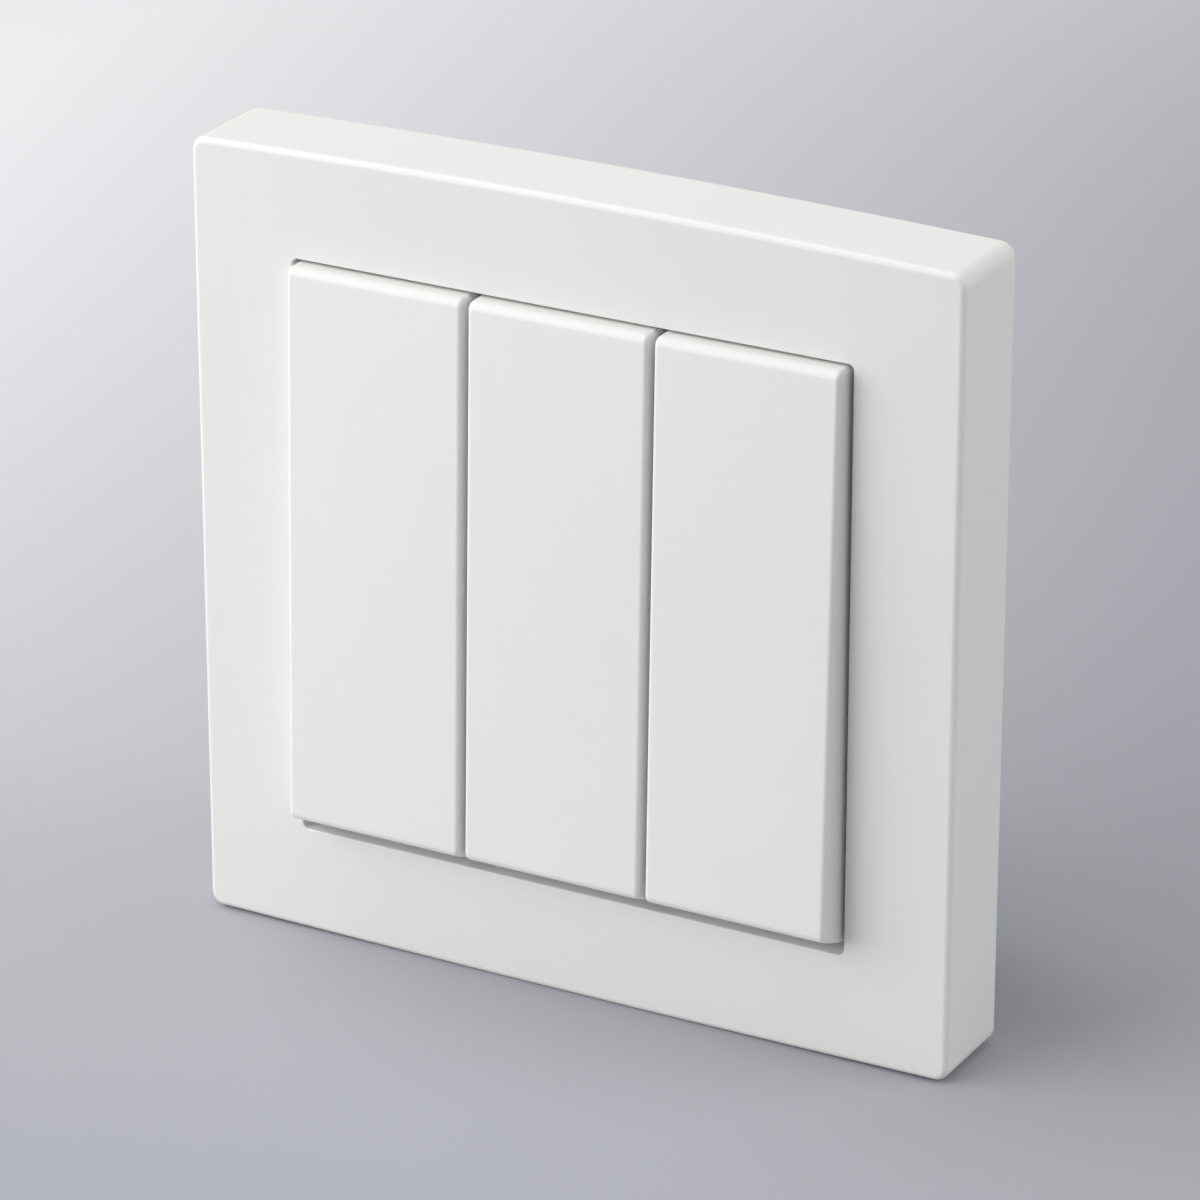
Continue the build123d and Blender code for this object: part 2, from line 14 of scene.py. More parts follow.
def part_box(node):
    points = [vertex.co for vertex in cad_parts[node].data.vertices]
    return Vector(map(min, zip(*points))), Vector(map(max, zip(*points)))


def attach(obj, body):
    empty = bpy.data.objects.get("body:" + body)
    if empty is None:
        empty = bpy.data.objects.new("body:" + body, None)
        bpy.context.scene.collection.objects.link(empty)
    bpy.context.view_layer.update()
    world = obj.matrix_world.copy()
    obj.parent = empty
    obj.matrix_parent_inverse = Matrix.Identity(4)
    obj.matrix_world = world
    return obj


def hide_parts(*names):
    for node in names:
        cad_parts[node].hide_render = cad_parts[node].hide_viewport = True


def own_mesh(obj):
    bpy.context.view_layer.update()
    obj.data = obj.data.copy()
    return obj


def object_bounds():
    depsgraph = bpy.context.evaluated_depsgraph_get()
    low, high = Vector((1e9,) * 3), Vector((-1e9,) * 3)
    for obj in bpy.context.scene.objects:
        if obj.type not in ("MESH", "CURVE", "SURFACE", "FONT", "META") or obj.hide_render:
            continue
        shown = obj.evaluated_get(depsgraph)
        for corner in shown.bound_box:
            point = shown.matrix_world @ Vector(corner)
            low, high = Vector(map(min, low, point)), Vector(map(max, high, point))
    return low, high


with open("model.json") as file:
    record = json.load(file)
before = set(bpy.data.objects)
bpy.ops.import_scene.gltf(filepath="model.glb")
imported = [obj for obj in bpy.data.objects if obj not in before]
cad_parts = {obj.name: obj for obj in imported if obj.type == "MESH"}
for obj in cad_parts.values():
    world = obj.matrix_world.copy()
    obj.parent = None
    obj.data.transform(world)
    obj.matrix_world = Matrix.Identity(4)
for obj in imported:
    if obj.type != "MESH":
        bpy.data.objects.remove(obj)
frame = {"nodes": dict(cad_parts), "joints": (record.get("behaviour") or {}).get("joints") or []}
cad_low, cad_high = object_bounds()

bl_info = {
    "name": "Three-gang light switch",
    "version": (1, 0, 0),
    "blender": (4, 5, 0),
    "location": "View3D > Sidebar > Switch",
    "description": "Dresses a packed three-gang light switch and sets up a studio for it",
    "category": "Object",
}

NODES = frame["nodes"]
GANGS = ("left", "centre", "right")
MM = 0.001


def screw_sizes(head_radius, head_height, radius, length, pitch, neck=0.0):
    """Sizes of one kind of screw in metres, from millimetres; the neck under its head has no thread."""
    return {
        "head_radius": head_radius * MM,
        "head_height": head_height * MM,
        "radius": radius * MM,
        "length": length * MM,
        "pitch": pitch * MM,
        "neck": neck * MM,
    }


SCREWS = {
    "box_screws": screw_sizes(3.4, 2.0, 1.75, 21.2, 0.6, neck=1.2),
    "housing_screws": screw_sizes(2.1, 1.3, 1.25, 2.7, 0.45),
    "cover_screws": screw_sizes(1.8, 1.2, 0.9, 9.3, 0.45),
    "terminal_screws": screw_sizes(2.1, 1.8, 1.25, 4.3, 0.45),
}

# A thread grows from the tip over this many pitches, and the tip starts at this share of the radius
THREAD_LEAD = 1.5
SHANK_TIP = 0.7

# Turns of the driver slot of the first screw in a group, and from one screw to the next
FIRST_TURN = radians(25)
NEXT_TURN = radians(50)

# Height of the middle of a spring's wire after the closed turn at each end, in radii of the wire
CLOSED_CLIMB = 3.1

# Rows of points in one pitch of a thread, one turn of a spring and all of the floor
THREAD_ROWS = 12
COIL_ROWS = 40
FLOOR_ROWS = 90

# Points round a shank, half of a head, a wire and the floor
SHANK_POINTS = 49
HEAD_POINTS = 41
WIRE_POINTS = 17
FLOOR_POINTS = 97

# Points of a new mesh that lie nearer than this are one
WELD = 1e-7

# Place and size of each soft lamp and the stage's colour that it takes
LAMPS = {
    "key": ((-0.42, -0.42, 0.17), (0.7, 0.7), "warm_light"),
    "side": ((-0.65, 0.15, 0.60), (0.5, 0.5), "cool_light"),
    "top": ((-0.10, -0.05, 0.90), (0.6, 0.6), "cool_light"),
    "fill": ((0.55, 0.12, 0.17), (0.4, 0.3), "warm_light"),
    "back": ((0.50, 0.25, 0.42), (0.4, 0.4), "warm_light"),
}

# The floor is flat to this radius and then bends up
FLOOR_FLAT = 2.6
FLOOR_BEND = 0.4

# Share of the floor's painted light under the switch, against its painted shade, and factors of the metres to
# the right of it, the metres away from the camera and their products; both count only in the ranges that the
# picture shows. The share paints a pool of light at the far left and the switch's shadow at the near right
FLOOR_PAINTED_LIGHT_SHARE = {
    "middle": 0.226,
    "right": -0.915,
    "away": 0.98,
    "away_squared": 2.24,
    "right_away": -21.4,
    "right_away_squared": 45.0,
}
FLOOR_RIGHT = (-0.1, 0.1)
FLOOR_AWAY = (-0.06, 0.33)


class SwitchFinishes(bpy.types.PropertyGroup):
    """Colours of the switch's materials."""

    cover_white: bpy.props.FloatVectorProperty(
        name="Cover white", description="Plastic of the frame",
        subtype="COLOR", size=3, min=0, max=1, default=(0.835, 0.830, 0.813),
    )
    rocker_white: bpy.props.FloatVectorProperty(
        name="Rocker white", description="Plastic of the rockers",
        subtype="COLOR", size=3, min=0, max=1, default=(0.857, 0.852, 0.835),
    )
    housing_grey: bpy.props.FloatVectorProperty(
        name="Housing grey", description="Plastic of the housing behind the wall",
        subtype="COLOR", size=3, min=0, max=1, default=(0.62, 0.64, 0.65),
    )
    inner_white: bpy.props.FloatVectorProperty(
        name="Inner white", description="Plastic of the carriers and the lid",
        subtype="COLOR", size=3, min=0, max=1, default=(0.74, 0.74, 0.71),
    )
    nylon: bpy.props.FloatVectorProperty(
        name="Nylon", description="Plungers",
        subtype="COLOR", size=3, min=0, max=1, default=(0.70, 0.66, 0.56),
    )
    zinc: bpy.props.FloatVectorProperty(
        name="Zinc", description="Plating of the plate and the screws",
        subtype="COLOR", size=3, min=0, max=1, default=(0.60, 0.61, 0.61),
    )
    spring_steel: bpy.props.FloatVectorProperty(
        name="Spring steel", description="Drawn wire of the springs",
        subtype="COLOR", size=3, min=0, max=1, default=(0.50, 0.51, 0.53),
    )
    copper: bpy.props.FloatVectorProperty(
        name="Copper", description="Rocking strips",
        subtype="COLOR", size=3, min=0, max=1, default=(0.74, 0.40, 0.26),
    )
    brass: bpy.props.FloatVectorProperty(
        name="Brass", description="Terminals, fixed strips and feed bar",
        subtype="COLOR", size=3, min=0, max=1, default=(0.72, 0.56, 0.25),
    )
    silver: bpy.props.FloatVectorProperty(
        name="Silver", description="Contact rivets",
        subtype="COLOR", size=3, min=0, max=1, default=(0.78, 0.77, 0.74),
    )


class SwitchDetails(bpy.types.PropertyGroup):
    """Sizes of the threads, driver slots and springs."""

    thread_depth: bpy.props.FloatProperty(
        name="Thread depth", description="Share of a thread's pitch that its ridge stands",
        subtype="FACTOR", min=0, max=1, default=0.58,
    )
    head_chamfer: bpy.props.FloatProperty(
        name="Head chamfer", description="Share of a screw head's radius that its rim is cut off",
        subtype="FACTOR", min=0, max=1, default=0.09,
    )
    slot_width: bpy.props.FloatProperty(
        name="Slot width", description="Width of a screw's driver slot", unit="LENGTH", default=0.6 * MM,
    )
    slot_depth: bpy.props.FloatProperty(
        name="Slot depth", description="Depth of a screw's driver slot", unit="LENGTH", default=0.6 * MM,
    )
    wire_radius: bpy.props.FloatProperty(
        name="Wire radius", description="Radius of a spring's wire", unit="LENGTH", default=0.2 * MM,
    )
    coil_radius: bpy.props.FloatProperty(
        name="Coil radius", description="From a spring's axis to the middle of its wire",
        unit="LENGTH", default=1.25 * MM,
    )
    coil_turns: bpy.props.IntProperty(
        name="Coil turns", description="Turns of a spring, with the closed one at each end", min=3, default=8,
    )


class SwitchStage(bpy.types.PropertyGroup):
    """Camera, lamps and floor."""

    lens: bpy.props.FloatProperty(
        name="Lens", description="Focal length on a 36 mm sensor", unit="CAMERA", default=185.7,
    )
    azimuth: bpy.props.FloatProperty(
        name="Azimuth", description="Camera's turn to the right of straight ahead",
        unit="ROTATION", default=radians(28.82),
    )
    elevation: bpy.props.FloatProperty(
        name="Elevation", description="Camera's angle above the horizon",
        unit="ROTATION", default=radians(22.90),
    )
    distance: bpy.props.FloatProperty(
        name="Distance", description="From the plate's centre to the camera", unit="LENGTH", default=0.6253,
    )
    aim: bpy.props.FloatVectorProperty(
        name="Aim", description="Sideways and upward move of the camera in its own plane",
        unit="LENGTH", size=2, default=(-0.0020, -0.0031),
    )
    key_power: bpy.props.FloatProperty(
        name="Key", description="Wide soft lamp at the front left", unit="POWER", default=4.55,
    )
    side_power: bpy.props.FloatProperty(
        name="Side", description="Soft lamp high at the left", unit="POWER", default=1.7,
    )
    top_power: bpy.props.FloatProperty(
        name="Top", description="Soft lamp straight above", unit="POWER", default=2.1,
    )
    fill_power: bpy.props.FloatProperty(
        name="Fill", description="Weak lamp at the right, behind the switch", unit="POWER", default=0.70,
    )
    back_power: bpy.props.FloatProperty(
        name="Back", description="Soft lamp high at the right, behind the switch", unit="POWER", default=0.70,
    )
    warm_light: bpy.props.FloatVectorProperty(
        name="Warm light", description="Key, fill and back lamps",
        subtype="COLOR", size=3, min=0, max=1, default=(1.0, 0.992, 0.978),
    )
    cool_light: bpy.props.FloatVectorProperty(
        name="Cool light", description="Side and top lamps",
        subtype="COLOR", size=3, min=0, max=1, default=(0.985, 0.99, 1.0),
    )
    air_light: bpy.props.FloatVectorProperty(
        name="Air light", description="Colour of the even light",
        subtype="COLOR", size=3, min=0, max=1, default=(1.0, 0.99, 0.98),
    )
    ambient: bpy.props.FloatProperty(
        name="Ambient", description="Even light from all round", min=0, default=0.35,
    )
    # The floor's two colours are painted light and shade: a painted pool of light at the far left, and
    # painted shade with the switch's painted shadow at the near right
    floor_painted_light: bpy.props.FloatVectorProperty(
        name="Floor painted light", description="Floor at the far left",
        subtype="COLOR", size=3, min=0, max=1, default=(0.85, 0.86, 0.88),
    )
    floor_painted_shade: bpy.props.FloatVectorProperty(
        name="Floor painted shade", description="Floor at the near right",
        subtype="COLOR", size=3, min=0, max=1, default=(0.288, 0.304, 0.343),
    )


def socket_value(node, name, value):
    """Sets one input of a node by its name."""
    node.inputs[name].default_value = value


def new_group(name, inputs, outputs):
    """An empty shader node group with its named sockets and its two end nodes."""
    group = bpy.data.node_groups.new(name, "ShaderNodeTree")
    for title, kind, value in inputs:
        socket = group.interface.new_socket(title, in_out="INPUT", socket_type=kind)
        socket.default_value = value
    for title, kind in outputs:
        group.interface.new_socket(title, in_out="OUTPUT", socket_type=kind)
    return group, group.nodes.new("NodeGroupInput"), group.nodes.new("NodeGroupOutput")


def noise(group, coordinates, scale, detail, rough=0.5):
    """A noise texture on the given coordinates; scale counts features in a metre."""
    texture = group.nodes.new("ShaderNodeTexNoise")
    socket_value(texture, "Scale", scale)
    socket_value(texture, "Detail", detail)
    socket_value(texture, "Roughness", rough)
    group.links.new(coordinates, texture.inputs["Vector"])
    return texture.outputs["Fac"]


def spread(group, value, low, high):
    """Maps a noise value's usual range, 0.3 to 0.7, onto low to high."""
    node = group.nodes.new("ShaderNodeMapRange")
    socket_value(node, "From Min", 0.3)
    socket_value(node, "From Max", 0.7)
    for name, limit in (("To Min", low), ("To Max", high)):
        if isinstance(limit, float):
            socket_value(node, name, limit)
        else:
            group.links.new(limit, node.inputs[name])
    group.links.new(value, node.inputs["Value"])
    return node.outputs["Result"]


def math_node(tree, operation, *values):
    """A math node whose inputs are numbers or other nodes' outputs."""
    node = tree.nodes.new("ShaderNodeMath")
    node.operation = operation
    for index, value in enumerate(values):
        if isinstance(value, float):
            node.inputs[index].default_value = value
        else:
            tree.links.new(value, node.inputs[index])
    return node.outputs["Value"]


def limited(tree, value, low, high):
    """A value that stops at low and at high."""
    return math_node(tree, "MINIMUM", math_node(tree, "MAXIMUM", value, low), high)


def mixed_colour(group, share, first, second):
    """A colour between two others."""
    node = group.nodes.new("ShaderNodeMix")
    node.data_type = "RGBA"
    group.links.new(share, node.inputs["Factor"])
    group.links.new(first, node.inputs["A"])
    group.links.new(second, node.inputs["B"])
    return node.outputs["Result"]


def pin_marks():
    """Round dimples that ejector pins leave on faces square to Y, in rows along X and Z.

    The height is 0 outside a dimple and falls to the depth over the width of its edge. A face counts as
    square to Y where that part of its normal is over the facing value.
    """
    group, start, end = new_group(
        "Pin marks",
        [
            ("Spacing", "NodeSocketFloat", 0.020),
            ("Radius", "NodeSocketFloat", 0.0016),
            ("Edge", "NodeSocketFloat", 0.00035),
            ("Facing", "NodeSocketFloat", 0.9),
            ("Depth", "NodeSocketFloat", 0.0),
        ],
        [("Height", "NodeSocketFloat")],
    )
    place = group.nodes.new("ShaderNodeTexCoord")
    split = group.nodes.new("ShaderNodeSeparateXYZ")
    group.links.new(place.outputs["Object"], split.inputs["Vector"])
    facing = group.nodes.new("ShaderNodeSeparateXYZ")
    group.links.new(place.outputs["Normal"], facing.inputs["Vector"])
    half = math_node(group, "MULTIPLY", start.outputs["Spacing"], 0.5)
    low = math_node(group, "MULTIPLY", half, -1.0)
    across = math_node(group, "WRAP", math_node(group, "ADD", split.outputs["X"], half), half, low)
    upward = math_node(group, "WRAP", split.outputs["Z"], half, low)
    across_squared = math_node(group, "POWER", across, 2.0)
    upward_squared = math_node(group, "POWER", upward, 2.0)
    length = math_node(group, "SQRT", math_node(group, "ADD", across_squared, upward_squared))
    inside = math_node(group, "SUBTRACT", start.outputs["Radius"], length)
    dimple = group.nodes.new("ShaderNodeMapRange")
    dimple.interpolation_type = "SMOOTHSTEP"
    group.links.new(start.outputs["Edge"], dimple.inputs["From Max"])
    group.links.new(inside, dimple.inputs["Value"])
    group.links.new(start.outputs["Depth"], dimple.inputs["To Max"])
    along_y = math_node(group, "ABSOLUTE", facing.outputs["Y"])
    square = math_node(group, "GREATER_THAN", along_y, start.outputs["Facing"])
    downward = math_node(group, "MULTIPLY", square, -1.0)
    sunk = math_node(group, "MULTIPLY", dimple.outputs["Result"], downward)
    group.links.new(sunk, end.inputs["Height"])
    return group


def moulded_skin():
    """Moulded plastic with faint clouds in its colour, a satin roughness, a fine grain and pin marks."""
    group, start, end = new_group(
        "Moulded skin",
        [
            ("Colour", "NodeSocketColor", (0.8, 0.8, 0.8, 1)),
            ("Cloud colour", "NodeSocketColor", (0.78, 0.78, 0.77, 1)),
            ("Smooth", "NodeSocketFloat", 0.34),
            ("Dull", "NodeSocketFloat", 0.42),
            ("Grain depth", "NodeSocketFloat", 0.000003),
            ("Pin depth", "NodeSocketFloat", 0.0),
        ],
        [("Colour", "NodeSocketColor"), ("Roughness", "NodeSocketFloat"), ("Height", "NodeSocketFloat")],
    )
    place = group.nodes.new("ShaderNodeTexCoord").outputs["Object"]
    cloud = noise(group, place, scale=38.0, detail=3.0)
    grain = noise(group, place, scale=3800.0, detail=2.0)
    clouded = mixed_colour(
        group, spread(group, cloud, 0.0, 1.0), start.outputs["Colour"], start.outputs["Cloud colour"]
    )
    group.links.new(clouded, end.inputs["Colour"])
    satin = spread(group, grain, start.outputs["Smooth"], start.outputs["Dull"])
    group.links.new(satin, end.inputs["Roughness"])
    marks = group.nodes.new("ShaderNodeGroup")
    marks.node_tree = pin_marks()
    group.links.new(start.outputs["Pin depth"], marks.inputs["Depth"])
    relief = math_node(group, "MULTIPLY_ADD", grain, start.outputs["Grain depth"], marks.outputs["Height"])
    group.links.new(relief, end.inputs["Height"])
    return group


def worked_metal():
    """Metal with a drawn grain along Z, patches of tarnish and fine scratches in its height."""
    group, start, end = new_group(
        "Worked metal",
        [
            ("Colour", "NodeSocketColor", (0.6, 0.6, 0.6, 1)),
            ("Tarnish", "NodeSocketColor", (0.4, 0.4, 0.4, 1)),
            ("Smooth", "NodeSocketFloat", 0.25),
            ("Dull", "NodeSocketFloat", 0.45),
            ("Grain depth", "NodeSocketFloat", 0.000003),
        ],
        [("Colour", "NodeSocketColor"), ("Roughness", "NodeSocketFloat"), ("Height", "NodeSocketFloat")],
    )
    place = group.nodes.new("ShaderNodeTexCoord").outputs["Object"]
    stretch = group.nodes.new("ShaderNodeMapping")
    socket_value(stretch, "Scale", (1.0, 1.0, 0.06))
    group.links.new(place, stretch.inputs["Vector"])
    grain = noise(group, stretch.outputs["Vector"], scale=5200.0, detail=3.0)
    patch = noise(group, place, scale=240.0, detail=4.0, rough=0.6)
    stained = mixed_colour(
        group, spread(group, patch, 0.0, 0.6), start.outputs["Colour"], start.outputs["Tarnish"]
    )
    group.links.new(stained, end.inputs["Colour"])
    uneven = spread(group, grain, start.outputs["Smooth"], start.outputs["Dull"])
    group.links.new(uneven, end.inputs["Roughness"])
    relief = math_node(group, "MULTIPLY", grain, start.outputs["Grain depth"])
    group.links.new(relief, end.inputs["Height"])
    return group


# The shared node groups, made at their first use
GROUPS = {}


def finish_material(name, kind, colours, roughness, grain_depth, pin_depth=0.0):
    """A Principled material whose colour, roughness and bump come from one of the shared groups.

    Both depths are in metres, and the bump node passes its height on unscaled.
    """
    if kind not in GROUPS:
        GROUPS[kind] = {"plastic": moulded_skin, "metal": worked_metal}[kind]()
    material = bpy.data.materials.new(name)
    material.use_nodes = True
    tree = material.node_tree
    shader = tree.nodes["Principled BSDF"]
    socket_value(shader, "Metallic", 1.0 if kind == "metal" else 0.0)
    socket_value(shader, "IOR", 1.49)
    skin = tree.nodes.new("ShaderNodeGroup")
    skin.node_tree = GROUPS[kind]
    for index, colour in enumerate(colours):
        skin.inputs[index].default_value = (*colour, 1)
    socket_value(skin, "Smooth", roughness[0])
    socket_value(skin, "Dull", roughness[1])
    socket_value(skin, "Grain depth", grain_depth)
    if pin_depth:
        socket_value(skin, "Pin depth", pin_depth)
    bump = tree.nodes.new("ShaderNodeBump")
    socket_value(bump, "Strength", 1.0)
    socket_value(bump, "Distance", 1.0)
    tree.links.new(skin.outputs["Colour"], shader.inputs["Base Color"])
    tree.links.new(skin.outputs["Roughness"], shader.inputs["Roughness"])
    tree.links.new(skin.outputs["Height"], bump.inputs["Height"])
    tree.links.new(bump.outputs["Normal"], shader.inputs["Normal"])
    return material


def toned(colour, factor):
    """The same colour, lighter or darker."""
    return tuple(channel * factor for channel in colour)


def finish(name):
    """The material of one finish, made at its first use."""
    made = bpy.data.materials.get(name)
    if made:
        return made
    colours = bpy.context.scene.switch_finishes
    # Colour, tone of its clouds or tarnish, roughness from smooth to dull, depths of the grain and pin marks
    plastics = {
        "white cover": (colours.cover_white, 0.985, (0.44, 0.52), 2.0e-6, 0.0),
        "white rocker": (colours.rocker_white, 0.985, (0.42, 0.50), 2.0e-6, 0.0),
        "inner plastic": (colours.inner_white, 0.96, (0.42, 0.52), 4.0e-6, 0.0),
        "housing plastic": (colours.housing_grey, 0.95, (0.42, 0.54), 4.8e-6, 1.0e-4),
        "nylon": (colours.nylon, 0.95, (0.32, 0.42), 3.2e-6, 0.0),
    }
    metals = {
        "zinc plate": (colours.zinc, 0.82, (0.30, 0.46), 3.6e-6),
        "zinc screw": (colours.zinc, 0.85, (0.24, 0.38), 3.0e-6),
        "spring wire": (colours.spring_steel, 0.80, (0.20, 0.32), 2.4e-6),
        "copper strip": (colours.copper, 0.80, (0.24, 0.38), 3.6e-6),
        "brass": (colours.brass, 0.84, (0.24, 0.40), 3.6e-6),
        "contact silver": (colours.silver, 0.88, (0.28, 0.40), 3.0e-6),
    }
    kind, table = ("plastic", plastics) if name in plastics else ("metal", metals)
    colour, tone, roughness, *depths = table[name]
    return finish_material(name, kind, (colour, toned(colour, tone)), roughness, *depths)


def dress(finish_name, *nodes):
    """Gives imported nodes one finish."""
    for node in nodes:
        materials = NODES[node].data.materials
        materials.clear()
        materials.append(finish(finish_name))


def each_gang(stem):
    """The three nodes of one kind, one for each gang."""
    return [f"{stem}_{gang}" for gang in GANGS]


def grid_faces(rows, columns):
    """Quads of an open grid of vertices that are numbered row by row."""
    corner = (np.arange(rows - 1)[:, None] * columns + np.arange(columns - 1)).ravel()
    return np.stack([corner, corner + 1, corner + columns + 1, corner + columns], axis=1)


def mesh_object(name, grids, sharp=radians(32)):
    """A new object at the origin from grids of points, each (rows, columns, 3).

    Points that meet are welded, so a grid whose last column repeats its first closes, and so does a row that
    shrinks to a pole. Faces are turned outwards and shaded smooth, apart from edges over the sharp angle.
    """
    counts = np.cumsum([0] + [grid.shape[0] * grid.shape[1] for grid in grids])
    points = np.concatenate([grid.reshape(-1, 3) for grid in grids])
    faces = np.concatenate([grid_faces(*grid.shape[:2]) + count for grid, count in zip(grids, counts)])
    mesh = bpy.data.meshes.new(name)
    mesh.from_pydata(points.tolist(), [], faces.tolist())
    work = bmesh.new()
    work.from_mesh(mesh)
    bmesh.ops.remove_doubles(work, verts=work.verts, dist=WELD)
    bmesh.ops.recalc_face_normals(work, faces=work.faces)
    work.to_mesh(mesh)
    work.free()
    mesh.polygons.foreach_set("use_smooth", np.ones(len(mesh.polygons), dtype=bool))
    mesh.set_sharp_from_angle(angle=sharp)
    made = bpy.data.objects.new(name, mesh)
    bpy.context.scene.collection.objects.link(made)
    return made


def closed_ends(count):
    """Numbers of count rows with the first and last repeated, and a factor that shrinks the repeats to 0."""
    rows = np.concatenate([[0], np.arange(count), [count - 1]])
    factor = np.ones(count + 2)
    factor[[0, -1]] = 0
    return rows, factor


def set_on(points, origin, out, turn=0.0):
    """Points whose third number is a height, turned about that height and set on an origin facing out."""
    out = np.array(out, dtype=float)
    side = np.array((1.0, 0.0, 0.0))
    third = np.cross(out, side)
    basis = np.stack([cos(turn) * side + sin(turn) * third, cos(turn) * third - sin(turn) * side, out])
    return points @ basis + np.array(origin)


def threaded_shank(screw, details):
    """A shank as a grid of length s by angle a, with its tip at s = 0 and its head at the other end.

    The radius is the root plus a cosine ridge whose phase is the length in pitches less the angle in turns.
    The ridge grows from the tip and stops at the neck, and both ends close on the axis.
    """
    length, pitch = screw["length"], screw["pitch"]
    steps = int(length / pitch * THREAD_ROWS)
    s = np.linspace(0, length, steps)[:, None]
    a = np.linspace(0, 2 * np.pi, SHANK_POINTS)[None, :]
    ridge = details.thread_depth * pitch
    root = screw["radius"] - ridge
    from_tip = np.clip(s / (THREAD_LEAD * pitch), 0, 1)
    to_neck = np.clip((length - screw["neck"] - s) / ridge, 0, 1)
    radius = root + ridge * from_tip * to_neck * (0.5 + 0.5 * np.cos(2 * np.pi * s / pitch - a))
    radius = radius * np.clip(SHANK_TIP + s / screw["radius"], 0, 1)
    rows, factor = closed_ends(steps)
    radius = radius[rows] * factor[:, None]
    height = np.broadcast_to(s[rows] - length, radius.shape)
    return np.stack([radius * np.cos(a), radius * np.sin(a), height], axis=-1)


def slotted_head(screw, details):
    """A round head as sections across its slot, each section a box whose upper corners are cut off.

    At the distance x from the middle the section is as wide as the circle's chord, twice the root of
    R squared less x squared, and it reaches the slot's floor where x lies inside the slot.
    """
    outer, top = screw["head_radius"], screw["head_height"]
    half_slot = details.slot_width / 2
    circle = -outer * np.cos(np.linspace(0, np.pi, HEAD_POINTS))
    x = np.unique(np.concatenate([circle, [-half_slot, half_slot]]))
    left = np.searchsorted(x, -half_slot)
    right = np.searchsorted(x, half_slot)
    rows = np.sort(np.concatenate([np.arange(len(x)), [left, right]]))
    inside = (np.arange(len(rows)) > left) & (np.arange(len(rows)) < right + 2)
    x = x[rows]
    level = np.where(inside, top - details.slot_depth, top)
    chord = np.sqrt(np.clip(outer ** 2 - x ** 2, 0, None))
    cut = np.minimum(details.head_chamfer * outer, chord)
    across = np.stack([-chord, chord, chord, chord - cut, cut - chord, -chord, -chord], axis=1)
    floor = np.zeros_like(level)
    up = np.stack([floor, floor, level - cut, level, level, level - cut, floor], axis=1)
    return np.stack([across, np.broadcast_to(x[:, None], across.shape), up], axis=-1)


def coil_tube(length, details):
    """A spring's wire as a grid of the way along it by the angle b round it, from height 0 to the length.

    The middle line turns evenly round the axis. It climbs by little more than one wire over the closed turn
    at each end, and evenly between them. The ring round it is the cosine of b along the coil's radius plus
    the sine of b along the normal of that radius and the line, and it shrinks to a point at both ends.
    """
    wire, count = details.wire_radius, details.coil_turns
    closed = CLOSED_CLIMB * wire
    turns = np.linspace(0, count, count * COIL_ROWS + 1)
    climb = np.interp(turns, [0, 1, count - 1, count], [wire, closed, length - closed, length - wire])
    angle = 2 * np.pi * turns
    radial = np.stack([np.cos(angle), np.sin(angle), np.zeros_like(angle)], axis=1)
    line = details.coil_radius * radial + climb[:, None] * np.array((0, 0, 1))
    along = np.gradient(line, axis=0)
    along = along / np.linalg.norm(along, axis=1, keepdims=True)
    normal = np.cross(along, radial)
    b = np.linspace(0, 2 * np.pi, WIRE_POINTS)[None, :, None]
    rows, factor = closed_ends(len(turns))
    ring = np.cos(b) * radial[rows, None, :] + np.sin(b) * normal[rows, None, :]
    return line[rows, None, :] + wire * factor[:, None, None] * ring


def spring_piece(gang, details):
    """A coil in place of a packed spring, laid along its plunger's slide from the rocker's pivot and hung on
    the rocker's body.
    """
    node = f"spring_{gang}"
    joints = {joint["name"]: joint for joint in frame["joints"]}
    pivot = Vector(joints[f"{gang}_rocker_tip"]["pos_m"])
    slide = joints[f"{gang}_plunger_slide"]
    out = Vector(slide["axis"]).normalized()
    low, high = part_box(node)
    lean = details.coil_radius * abs(out.z)
    start = (pivot.y - high.y + lean) / abs(out.y)
    length = (high.y - low.y - 2 * lean) / abs(out.y)
    seat = pivot + out * start
    piece = mesh_object(f"{node}_coil", [set_on(coil_tube(length, details), seat, out)])
    piece.data.materials.append(finish("spring wire"))
    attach(piece, f"{gang}_rocker")
    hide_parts(node)
    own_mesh(piece)


def screw_piece(node, screw, seats, details):
    """One object for a packed group of screws, which it replaces; each seat is an origin and the way out."""
    grids = []
    for number, (origin, out) in enumerate(seats):
        turn = FIRST_TURN + NEXT_TURN * number
        grids.append(set_on(threaded_shank(screw, details), origin, out, turn))
        grids.append(set_on(slotted_head(screw, details), origin, out, turn))
    piece = mesh_object(f"{node}_threaded", grids)
    piece.data.materials.append(finish("zinc screw"))
    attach(piece, "base")
    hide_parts(node)


def wall_seats(node, screw):
    """Seats of screws that face the room, in the corners of their group's box.

    A box lower than one and a half heads holds one row, with a seat at each end.
    """
    low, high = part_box(node)
    inset = screw["head_radius"]
    across = (low.x + inset, high.x - inset)
    one_row = high.z - low.z < 3 * inset
    upward = ((low.z + high.z) / 2,) if one_row else (low.z + inset, high.z - inset)
    return [((x, low.y + screw["head_height"], z), (0, -1, 0)) for x in across for z in upward]


def clamp_seats(node, screw):
    """Seats of the clamp screws: three along the top and one in the middle of the bottom."""
    low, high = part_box(node)
    inset, rise = screw["head_radius"], screw["head_height"]
    y = (low.y + high.y) / 2
    middle = (low.x + high.x) / 2
    upper = [((x, y, high.z - rise), (0, 0, 1)) for x in (low.x + inset, middle, high.x - inset)]
    return upper + [((middle, y, low.z + rise), (0, 0, -1))]


class SWITCH_OT_cover_frame(bpy.types.Operator):
    """Finish the surround"""

    bl_idname = "switch.cover_frame"
    bl_label = "Cover frame"

    def execute(self, context):
        dress("white cover", "cover_frame")
        return {"FINISHED"}


